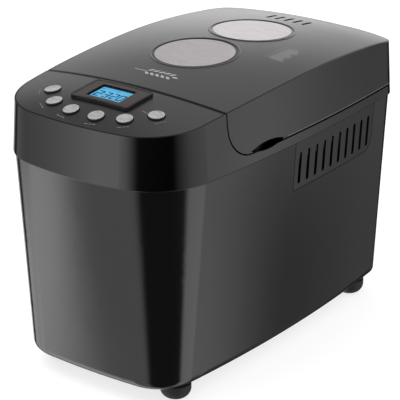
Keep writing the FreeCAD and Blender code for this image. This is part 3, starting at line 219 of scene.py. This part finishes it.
glow = add_node(tree, "ShaderNodeMath", {0: in_glow, 1: glow_strength},
                operation="MULTIPLY").outputs[0]
high = add_node(tree, "ShaderNodeMath", {0: high, 1: glow}, operation="ADD").outputs[0]
dimmed = add_node(tree, "ShaderNodeMath", {0: high, 1: far_left_share},
                  operation="MULTIPLY").outputs[0]
past_far_left = step_up(tree, turn, *map(math.radians, far_left_turns))
high = blend(tree, past_far_left, high, dimmed)
walls = blend(tree, step_up(tree, rise, *map(math.radians, low_to_middle)), low, middle)
mirrored = blend(tree, step_up(tree, rise, *map(math.radians, middle_to_high)), walls, high)
path = add_node(tree, "ShaderNodeLightPath")
diffuse_or_room = blend(tree, path.outputs["Is Diffuse Ray"], mirrored, 1.0)
seen = blend(tree, path.outputs["Is Camera Ray"], diffuse_or_room, 1.0)
background = add_node(tree, "ShaderNodeBackground",
                      {"Color": (1, 1, 1, 1), "Strength": seen})
tree.links.new(background.outputs[0],
               add_node(tree, "ShaderNodeOutputWorld").inputs["Surface"])
bpy.context.scene.world = world
print("room bands:", len(low_band), len(middle_band), len(high_band), "stops")

# %% [markdown]
# The room lights matt pieces evenly from all sides, which would leave them flat. Two broad
# area lamps give them soft shade. A small lamp would shade them too, but with hard edges.
# The glossy walls don't mirror either lamp.

# %% Two soft lamps
def soft_lamp(name, turn, rise, distance, width, power):
    lamp = bpy.data.lights.new(name, "AREA")
    lamp.energy, lamp.size = power, width
    holder = bpy.data.objects.new(name, lamp)
    away = Vector(room_direction(turn, rise))
    holder.location = look_at + away * distance
    holder.rotation_euler = away.to_track_quat("Z", "Y").to_euler()
    bpy.context.collection.objects.link(holder)
    holder.visible_glossy = False
    return holder


soft_lamp("key_lamp", -40, 60, 2.2, 1.6, 18.0)
soft_lamp("fill_lamp", 110, 40, 2.2, 1.6, 9.0)

# %% [markdown]
# Most of the machine is one of a few finishes: lacquered sheet metal, glossy moulded
# plastic, satin painted metal, bare metal, rubber and glass. They differ in colour,
# roughness and grain, but are made the same way: a fine noise moves the roughness and the
# height a little, and a broad noise moves the colour, as on any real coat.

# %% A helper for finishes
rough_spread = 0.05


def finish(name, colour, roughness, metallic=0.0, grain=900.0, grain_depth=0.02,
           mottle=0.06, stretch=(1, 1, 1), more=None):
    """A procedural finish: colour mottled broadly, roughness and height varied finely."""
    material, tree = blank_material(name)
    place = add_node(tree, "ShaderNodeTexCoord").outputs["Object"]
    drawn = add_node(tree, "ShaderNodeMapping", {"Vector": place, "Scale": stretch})
    fine = add_node(tree, "ShaderNodeTexNoise",
                    {"Vector": drawn.outputs[0], "Scale": grain, "Detail": 3.0})
    broad = add_node(tree, "ShaderNodeTexNoise",
                     {"Vector": place, "Scale": 14.0, "Detail": 2.0})
    low = [c * (1 - mottle) for c in colour] + [1.0]
    high = [min(1.0, c * (1 + mottle)) for c in colour] + [1.0]
    tint = add_node(tree, "ShaderNodeMix",
                    {"Factor": broad.outputs["Fac"], "A": low, "B": high},
                    data_type="RGBA").outputs["Result"]
    rough = add_node(tree, "ShaderNodeMapRange",
                     {"Value": fine.outputs["Fac"], "To Min": roughness - rough_spread,
                      "To Max": roughness + rough_spread})
    bump = add_node(tree, "ShaderNodeBump",
                    {"Height": fine.outputs["Fac"], "Strength": grain_depth,
                     "Distance": 0.0004})
    shader = add_node(tree, "ShaderNodeBsdfPrincipled",
                      {"Base Color": tint, "Roughness": rough.outputs["Result"],
                       "Normal": bump.outputs["Normal"], "Metallic": metallic})
    for key, value in (more or {}).items():
        shader.inputs[key].default_value = value
    tree.links.new(shader.outputs[0],
                   add_node(tree, "ShaderNodeOutputMaterial").inputs["Surface"])
    return material


# %% [markdown]
# The wrap round the body is sheet steel under a smoked, slightly metallic lacquer. The
# lacquer is nearly smooth, so it mirrors the room softly. The upper housing and the lid's
# sides are glossy black mouldings. A clear coat over black plastic would be the usual way,
# but it shines less when seen straight on. Both are set as a very dark metal instead, which
# mirrors the room evenly from every side.

# %% Finishes of the casing
finishes = {
    "shell_black": finish("smoked_lacquer_on_steel", (0.116, 0.115, 0.116), 0.15,
                          metallic=1.0, grain=2600, grain_depth=0.01, mottle=0.04),
    "housing_black": finish("glossy_black_moulding", (0.093, 0.093, 0.094), 0.15,
                            metallic=1.0, grain=1800, grain_depth=0.012, mottle=0.05),
    "panel_grey": finish("satin_metallic_paint", (0.172, 0.170, 0.171), 0.30, metallic=1.0,
                         grain=5200, grain_depth=0.04, mottle=0.05),
    "trim_black": finish("black_trim", (0.012, 0.012, 0.012), 0.18, grain=900),
    "vent_black": finish("fine_textured_plastic", (0.105, 0.105, 0.107), 0.34, metallic=1.0,
                         grain=3200, grain_depth=0.05),
}
print("casing finishes:", sorted(finishes))

# %% [markdown]
# Inside there is bare and coated metal: an aluminium chamber, a dark non-stick pan, plain
# zinc-coated steel for what is never seen, and bright steel for pins and screws. Brushed
# metal has its grain drawn out along one direction.

# %% Finishes of metal, rubber and plastic inside
finishes.update({
    "zinc_steel": finish("zinc_coated_steel", (0.52, 0.52, 0.50), 0.36, metallic=1.0,
                         grain=500, mottle=0.12),
    "bright_steel": finish("bright_steel", (0.72, 0.72, 0.71), 0.16, metallic=1.0,
                           grain=1500, stretch=(1, 1, 12)),
    "aluminium": finish("drawn_aluminium", (0.66, 0.66, 0.67), 0.3, metallic=1.0,
                        grain=700, stretch=(1, 1, 10)),
    "bronze": finish("sintered_bronze", (0.5, 0.33, 0.16), 0.42, metallic=1.0),
    "motor_iron": finish("painted_motor_iron", (0.17, 0.17, 0.175), 0.5, metallic=0.5,
                         grain=600, grain_depth=0.1),
    "non_stick": finish("non_stick_coating", (0.055, 0.054, 0.053), 0.38, metallic=0.3,
                        grain=2400, grain_depth=0.1, mottle=0.15),
    "black_rubber": finish("black_rubber", (0.014, 0.014, 0.014), 0.62, grain=1500,
                           grain_depth=0.1),
    "belt_rubber": finish("belt_rubber", (0.02, 0.02, 0.02), 0.7, grain=800,
                          grain_depth=0.2),
    "silicone": finish("grey_silicone", (0.36, 0.35, 0.33), 0.5, grain=900,
                       more={"Subsurface Weight": 0.1, "Subsurface Radius": (0.002,) * 3}),
    "dark_plastic": finish("dark_plastic", (0.03, 0.03, 0.03), 0.45, grain=1600,
                           grain_depth=0.08),
    "board_green": finish("board_lacquer", (0.02, 0.14, 0.06), 0.32, grain=1200,
                          mottle=0.2),
})
print("finishes so far:", len(finishes))

# %% [markdown]
# A key's top is silver, and its side is painted black as shade, standing in for the dark
# shade below its rim. So the finish follows the slope of the surface: silver where it faces
# up, painted shade black where it turns down to the side.

# %% The keys
key_finish, tree = blank_material("silver_key_with_painted_shade_side")
place = add_node(tree, "ShaderNodeTexCoord").outputs["Object"]
brushed = add_node(tree, "ShaderNodeTexNoise",
                   {"Vector": add_node(tree, "ShaderNodeMapping",
                                       {"Vector": place, "Scale": (1, 9, 1)}).outputs[0],
                    "Scale": 150.0, "Detail": 4.0})
silver = add_node(tree, "ShaderNodeMapRange",
                  {"Value": brushed.outputs["Fac"], "To Min": 0.10, "To Max": 0.85})
silver_top = add_node(tree, "ShaderNodeBsdfPrincipled",
                      {"Base Color": silver.outputs["Result"], "Metallic": 0.45,
                       "Roughness": 0.30})
# painted shade: the key's side is coloured near black where it turns down, in place of the
# shade that falls there
painted_shade_side = add_node(tree, "ShaderNodeBsdfPrincipled",
                      {"Base Color": (0.012, 0.012, 0.012, 1), "Roughness": 0.35})
facing = add_node(tree, "ShaderNodeSeparateXYZ",
                  {0: add_node(tree, "ShaderNodeNewGeometry").outputs["Normal"]})
is_top = step_up(tree, facing.outputs["Z"], 0.62, 0.80)
both = add_node(tree, "ShaderNodeMixShader",
                {0: is_top, 1: painted_shade_side.outputs[0], 2: silver_top.outputs[0]})
tree.links.new(both.outputs[0],
               add_node(tree, "ShaderNodeOutputMaterial").inputs["Surface"])
finishes["key_silver"] = key_finish
print("key finish:", key_finish.name)

# %% [markdown]
# Glass needs light to pass. The lid's windows are lightly mirrored, so from outside they
# look pale and silvery and show the room; the display's pane is smoked brown.

# %% Glass
def pane(name, tint, body_colour, roughness, mirror, shade, streak=(1, 1, 1)):
    """Tinted clear glass; shade says where it is dull, mirror how much it reflects."""
    material, tree = blank_material(name)
    place = add_node(tree, "ShaderNodeTexCoord").outputs["Object"]
    drawn = add_node(tree, "ShaderNodeMapping", {"Vector": place, "Scale": streak})
    haze = add_node(tree, "ShaderNodeTexNoise",
                    {"Vector": drawn.outputs[0], "Scale": 60.0, "Detail": 4.0})
    rough = add_node(tree, "ShaderNodeMapRange",
                     {"Value": haze.outputs["Fac"], "To Min": roughness,
                      "To Max": roughness + 0.04})
    pale = add_node(tree, "ShaderNodeMix",
                    {"Factor": haze.outputs["Fac"],
                     "A": [c * 0.72 for c in body_colour] + [1.0],
                     "B": [min(1.0, c * 1.28) for c in body_colour] + [1.0]},
                    data_type="RGBA").outputs["Result"]
    clear = add_node(tree, "ShaderNodeBsdfTransparent", {"Color": (*tint, 1)})
    body = add_node(tree, "ShaderNodeBsdfPrincipled",
                    {"Base Color": pale, "Roughness": 0.5})
    dulled = add_node(tree, "ShaderNodeMixShader",
                      {0: shade(tree, place), 1: clear.outputs[0], 2: body.outputs[0]})
    shine = add_node(tree, "ShaderNodeBsdfPrincipled",
                     {"Base Color": pale, "Metallic": 1.0,
                      "Roughness": rough.outputs["Result"]})
    both = add_node(tree, "ShaderNodeMixShader",
                    {0: mirror, 1: dulled.outputs[0], 2: shine.outputs[0]})
    tree.links.new(both.outputs[0],
                   add_node(tree, "ShaderNodeOutputMaterial").inputs["Surface"])
    return material


def even_shade(amount):
    """Equally dull all over."""
    return lambda tree, place: amount


def outside_box(cx, cy, half_x, half_y, soft):
    """Dull outside a box in plan, clear inside it."""
    def shade(tree, place):
        at = add_node(tree, "ShaderNodeSeparateXYZ", {0: place})
        worst = None
        for axis, centre, half in (("X", cx, half_x), ("Y", cy, half_y)):
            off = add_node(tree, "ShaderNodeMath", {0: at.outputs[axis], 1: centre},
                           operation="SUBTRACT").outputs[0]
            size = add_node(tree, "ShaderNodeMath", {0: off}, operation="ABSOLUTE").outputs[0]
            over = step_up(tree, size, half, half + soft)
            worst = over if worst is None else add_node(
                tree, "ShaderNodeMath", {0: worst, 1: over}, operation="MAXIMUM").outputs[0]
        return worst
    return shade


lit_low, lit_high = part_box("lcd_module")
lit_x, lit_y = (lit_low[0] + lit_high[0]) / 2, (lit_low[1] + lit_high[1]) / 2
lit_half_x, lit_half_y = (lit_high[0] - lit_low[0]) / 2, (lit_high[1] - lit_low[1]) / 2
finishes["window_smoke"] = pane("silvered_window_glass", (0.6, 0.56, 0.57),
                                (0.62, 0.585, 0.59), 0.12, 0.5, even_shade(0.6),
                                streak=(1, 7, 1))
finishes["display_smoke"] = pane("smoked_display_glass", (0.85, 0.88, 0.90),
                                 (0.046, 0.036, 0.033), 0.12, 0.05,
                                 outside_box(lit_x, lit_y - 0.001, lit_half_x, lit_half_y,
                                             0.0012))
print("glass:", finishes["window_smoke"].name, finishes["display_smoke"].name)

# %% [markdown]
# The display is lit from behind. A little of its own light keeps the blue even under
# smoked glass, and a fine grid stands for its rows of dots.

# %% The lit display
lcd_glow, tree = blank_material("lit_display_blue")
place = add_node(tree, "ShaderNodeTexCoord").outputs["Object"]
dots = add_node(tree, "ShaderNodeTexBrick",
                {"Vector": place, "Color1": (0.11, 0.41, 0.62, 1),
                 "Color2": (0.12, 0.43, 0.65, 1), "Mortar": (0.09, 0.37, 0.57, 1),
                 "Scale": 900.0, "Mortar Size": 0.04}, offset=0.0)
lcd_shader = add_node(tree, "ShaderNodeBsdfPrincipled",
                      {"Base Color": dots.outputs["Color"], "Roughness": 0.3,
                       "Emission Color": dots.outputs["Color"], "Emission Strength": 0.85})
tree.links.new(lcd_shader.outputs[0],
               add_node(tree, "ShaderNodeOutputMaterial").inputs["Surface"])
finishes["lcd_blue"] = lcd_glow
print("display finish:", lcd_glow.name)

# %% [markdown]
# The frame says which finish each solid takes. Each could be named here again, but one
# list is harder to get wrong than two.

# %% Give every solid its finish
slot_of = {part["node"]: part["material_slot"] for part in frame["record"]["subparts"]}
for node_name, solid in nodes.items():
    solid.data.materials.clear()
    solid.data.materials.append(finishes[slot_of[node_name]])
print("solids finished:", len(nodes))

# %% [markdown]
# Printed marks and thin trims have to lie exactly on a curved top. Their heights could be
# worked out from the dome's sizes, but it is simpler to drop each point straight down
# onto the solid and read where it lands.

# %% Dropping points onto a solid
def surface_of(node_name):
    solid = nodes[node_name]
    mesh = solid.data
    return BVHTree.FromPolygons([v.co.copy() for v in mesh.vertices],
                                [tuple(p.vertices) for p in mesh.polygons])


def drop(tree, x, y, lift):
    """The point above x, y on the solid's top, raised by lift."""
    hit, normal, _, _ = tree.ray_cast(Vector((x, y, 1.0)), Vector((0, 0, -1)))
    return hit + normal * lift


def new_piece(name, points, faces, slot, body, material=None, smooth=False):
    """A mesh piece that rides on a body and takes its finish from a slot."""
    mesh = bpy.data.meshes.new(name)
    mesh.from_pydata([tuple(p) for p in points], [], faces)
    mesh.validate()
    mesh.polygons.foreach_set("use_smooth", [smooth] * len(mesh.polygons))
    mesh.materials.append(material or finishes[slot])
    piece = bpy.data.objects.new(name, mesh)
    bpy.context.collection.objects.link(piece)
    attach(piece, body)
    return piece


top_of_lid = surface_of("lid_top_panel")
top_of_cover = surface_of("control_cover")
print("lid top above the middle:", round(drop(top_of_lid, 0.06, 0.03, 0).z, 4))

# %% [markdown]
# The print is pale grey ink. It is a film with a real but tiny thickness, so each mark is a
# thin raised shape cut from a flat outline and draped on the surface.

# %% The ink
finishes["print"] = finish("pale_print", (0.30, 0.30, 0.30), 0.5, grain=2000, mottle=0.1)
finishes["faint_print"] = finish("faint_print", (0.16, 0.16, 0.16), 0.5, grain=2000,
                                 mottle=0.1)
ink_lift = 0.00012


def printed(name, outlines, tree, body, ink=None):
    """One piece for many small flat outlines, each a list of x, y points."""
    points, faces = [], []
    for outline in outlines:
        first = len(points)
        points += [drop(tree, x, y, ink_lift) for x, y in outline]
        faces.append(tuple(range(first, first + len(outline))))
    return new_piece(name, points, faces, "key_silver", body, ink or finishes["print"])


def bar_outline(x, y, length, width, turn=0.0):
    """A small rectangle's corners, centred on x, y."""
    c, s = math.cos(turn), math.sin(turn)
    half = [(-length / 2, -width / 2), (length / 2, -width / 2),
            (length / 2, width / 2), (-length / 2, width / 2)]
    return [(x + a * c - b * s, y + a * s + b * c) for a, b in half]


# %% [markdown]
# The mark on the lid is a plain ear of wheat lying across it: pairs of grains along a stalk.

# %% The ear of wheat on the lid
def grain_outline(x, y, length, width, turn, steps=10):
    """A pointed oval: two arcs that meet at both tips."""
    pts = []
    for side in (1, -1):
        for i in range(steps):
            t = i / steps
            along = (t - 0.5) * length * side
            pts.append((along, side * width / 2 * math.sin(math.pi * t)))
    c, s = math.cos(turn), math.sin(turn)
    return [(x + a * c - b * s, y + a * s + b * c) for a, b in pts]


mark_y, pair_pitch, pairs = -0.085, 0.0066, 5
first_pair_x, grain_off, grain_turn = -0.0055, 0.0042, math.radians(40)
grain_length, grain_width = 0.0088, 0.0036
stalk_x, stalk_length, stalk_width = -0.0165, 0.0150, 0.0011
tip_x, tip_length, tip_width = 0.0265, 0.0086, 0.0034
ear = [bar_outline(stalk_x, mark_y, stalk_length, stalk_width)]
for i in range(pairs):
    for side in (1, -1):
        ear.append(grain_outline(first_pair_x + i * pair_pitch, mark_y + side * grain_off,
                                 grain_length, grain_width, side * grain_turn))
ear.append(grain_outline(tip_x, mark_y, tip_length, tip_width, 0.0))
printed("lid_wheat_mark", ear, top_of_lid, "lid")
print("wheat mark shapes:", len(ear))

# %% [markdown]
# The right edge of the lid carries a short list, and each key has a line of print beside
# it. Nobody reads them here, so they are rows of small dashes of the right length.

# %% The list on the lid
list_rows, list_pitch, list_start, list_width = 9, 0.0043, 0.019, 0.0014
number_x, number_length = 0.0635, 0.0018
word_x, word_length = 0.0755, 0.017
dashes = []
for row in range(list_rows):
    y = list_start + row * list_pitch
    shorter = 0.0022 * (row % 3)
    dashes.append(bar_outline(number_x, y, number_length, list_width))
    dashes.append(bar_outline(word_x - shorter / 2, y, word_length - shorter, list_width))
printed("lid_list_print", dashes, top_of_lid, "lid")
print("list rows:", list_rows)

# %% [markdown]
# Each key has a short line of print towards the front, and one key has two.

# %% Print by the keys
key_spots = {}
for i in range(1, 7):
    low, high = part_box("button_%d" % i)
    key_spots[i] = ((low[0] + high[0]) / 2, (low[1] + high[1]) / 2)
fan_centre_y, print_reach = -0.118, 0.0135
key_words = ((-0.0042, 0.0040), (0.0, 0.0024), (0.0038, 0.0036))  # offset, length
key_word_width = 0.0009
key_dashes = []
for i, (x, y) in key_spots.items():
    outward = Vector((x, y - fan_centre_y, 0)).normalized()
    at = Vector((x, y, 0)) + outward * print_reach
    turn = math.atan2(outward.x, -outward.y)
    for dx, length in key_words:
        key_dashes.append(bar_outline(at.x + dx * math.cos(turn), at.y + dx * math.sin(turn),
                                      length, key_word_width, turn))
x, y = key_spots[6]
key_dashes.append(bar_outline(x - print_reach, y - 0.001, 0.007, 0.0011, math.radians(-12)))
printed("key_print", key_dashes, top_of_cover, "casing", finishes["faint_print"])
print("key dashes:", len(key_dashes))

# %% [markdown]
# The display shows a time. Each digit has seven bars with pointed ends. They could be
# drawn in the display's material, but thin solid bars stay sharp from any distance.

# %% Digits of the display
lit_bars = {"0": "abcdef", "2": "abdeg", "3": "abcdg"}
digit_w, digit_h, bar_w, slant = 0.0050, 0.0110, 0.0014, 0.10


def segment_outline(name, x, y):
    """The outline of one bar of a digit whose lower left corner is at x, y."""
    half = digit_h / 2
    flat = {"a": (digit_h, 0, digit_w), "g": (half, 0, digit_w), "d": (0, 0, digit_w)}
    b = bar_w / 2
    if name in flat:
        up, x0, x1 = flat[name]
        pts = [(x0 - b, up), (x0, up + b), (x1, up + b), (x1 + b, up),
               (x1, up - b), (x0, up - b)]
    else:
        right = digit_w if name in "bc" else 0.0
        y0 = half if name in "bf" else 0.0
        y1 = y0 + half
        pts = [(right, y0 - b), (right + b, y0), (right + b, y1),
               (right, y1 + b), (right - b, y1), (right - b, y0)]
    return [(x + px + slant * py, y + py) for px, py in pts]


# places on the display are measured from its middle
digit_starts = (("2", -0.0175), ("3", -0.0075), ("2", 0.0015), ("0", 0.0100))
digit_foot = -0.0075
colon_x, colon_heights, colon_dot = -0.0100, (-0.0028, 0.0016), 0.0011
mark_places = ((-0.0175, 0.0092), (0.0005, 0.0092), (-0.0175, -0.0090))
mark_length, mark_width = 0.0018, 0.0010
display_face = surface_of("lcd_module")
digit_outlines = []
for text, x in digit_starts:
    for bar in lit_bars[text]:
        digit_outlines.append(segment_outline(bar, lit_x + x, lit_y + digit_foot))
for dy in colon_heights:
    digit_outlines.append(bar_outline(lit_x + colon_x, lit_y + dy, colon_dot, colon_dot))
for dx, dy in mark_places:
    digit_outlines.append(bar_outline(lit_x + dx, lit_y + dy, mark_length, mark_width))
finishes["digit_ink"] = finish("display_digit_blue", (0.004, 0.012, 0.07), 0.5, grain=1500)
printed("display_digits", digit_outlines, display_face, "casing", finishes["digit_ink"])
print("display bars:", len(digit_outlines))

# %% [markdown]
# Each window sits in a black seal, and round that lies a thin raised ring pressed into the
# lid's metal. A turned ring would be flat, but the lid is domed, so the ring is a small
# arched profile carried round a circle, with every station dropped onto the lid.

# %% Rings round the windows
ground_out = 0.0035


def draped_ring(name, cx, cy, radius, profile, tree, slot, body, material, stations=144):
    """profile is a list of (outward, up) from the circle and the surface."""
    points, faces = [], []
    for i in range(stations):
        a = 2 * math.pi * i / stations
        ground = drop(tree, cx + (radius + ground_out) * math.cos(a),
                      cy + (radius + ground_out) * math.sin(a), 0)
        for out, up in profile:
            points.append((cx + (radius + out) * math.cos(a),
                           cy + (radius + out) * math.sin(a), ground.z + up))
    n = len(profile)
    for i in range(stations):
        for j in range(n - 1):
            a, b = i * n + j, ((i + 1) % stations) * n + j
            faces.append((a, b, b + 1, a + 1))
    return new_piece(name, points, faces, slot, body, material, smooth=True)


window_low, window_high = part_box("window_gaskets")
gasket_r = (window_high[0] - window_low[0]) / 2
window_ys = (window_low[1] + gasket_r, window_high[1] - gasket_r)
ring_profile = [(0.0001, -0.0012), (0.0002, 0.0002), (0.0007, 0.0006), (0.0014, 0.00072),
                (0.0021, 0.0006), (0.0027, 0.0002), (0.0030, -0.0008)]
for label, cy in zip(("front", "rear"), window_ys):
    draped_ring("window_ring_" + label, 0.0, cy, gasket_r, ring_profile, top_of_lid,
                "panel_grey", "lid", finishes["panel_grey"])
print("window rings at y =", [round(y, 4) for y in window_ys])

# %% [markdown]
# The lid closes on a thin step, and a line of light runs along its lower edge. That highlight
# is painted: a small bead with a lighter finish than the lid runs along the lower edge of the
# lid, so its path is found by looking in from the side at the lid, station by station.

# %% The painted highlight bead along the lid's lower edge
side_of_lid = surface_of("lid_shell")
lid_edge_z, looked_in_above = 0.2475, 0.0010
# each point: outward from the lid's side, up from its lower edge
bead_profile = ((-0.0003, 0.0012), (0.00010, 0.0010), (0.00018, 0.0007),
                (0.00010, 0.0004), (-0.0003, 0.0002))


def side_point(tree, y, z, side):
    """Where a look straight in from the side meets the solid, and the normal there."""
    hit, normal, _, _ = tree.ray_cast(Vector((side * 0.5, y, z)), Vector((-side, 0, 0)))
    return hit, normal


# painted highlight: the bead's lighter grey metal stands in for the line of light along the
# lid's edge
finishes["bead_edge"] = finish("bright_bead_edge", (0.26, 0.26, 0.26), 0.35, metallic=0.8,
                               grain=1500)
bead_start, bead_length, bead_steps = -0.022, 0.211, 60
for label, side in (("right", 1), ("left", -1)):
    points, faces = [], []
    stations = [bead_start + bead_length * i / bead_steps for i in range(bead_steps + 1)]
    for y in stations:
        hit, normal = side_point(side_of_lid, y, lid_edge_z + looked_in_above, side)
        out = Vector((normal.x, normal.y, 0)).normalized()
        for push, up in bead_profile:
            points.append(Vector((hit.x, hit.y, lid_edge_z + up)) + out * push)
    n = len(bead_profile)
    for i in range(bead_steps):
        for j in range(n - 1):
            a = i * n + j
            face = (a, a + n, a + n + 1, a + 1)
            faces.append(face if side > 0 else (a, a + 1, a + n + 1, a + n))
    new_piece("lid_highlight_bead_" + label, points, faces, "bright_steel", "lid",
              finishes["bead_edge"], smooth=True)
print("bead stations:", len(stations))
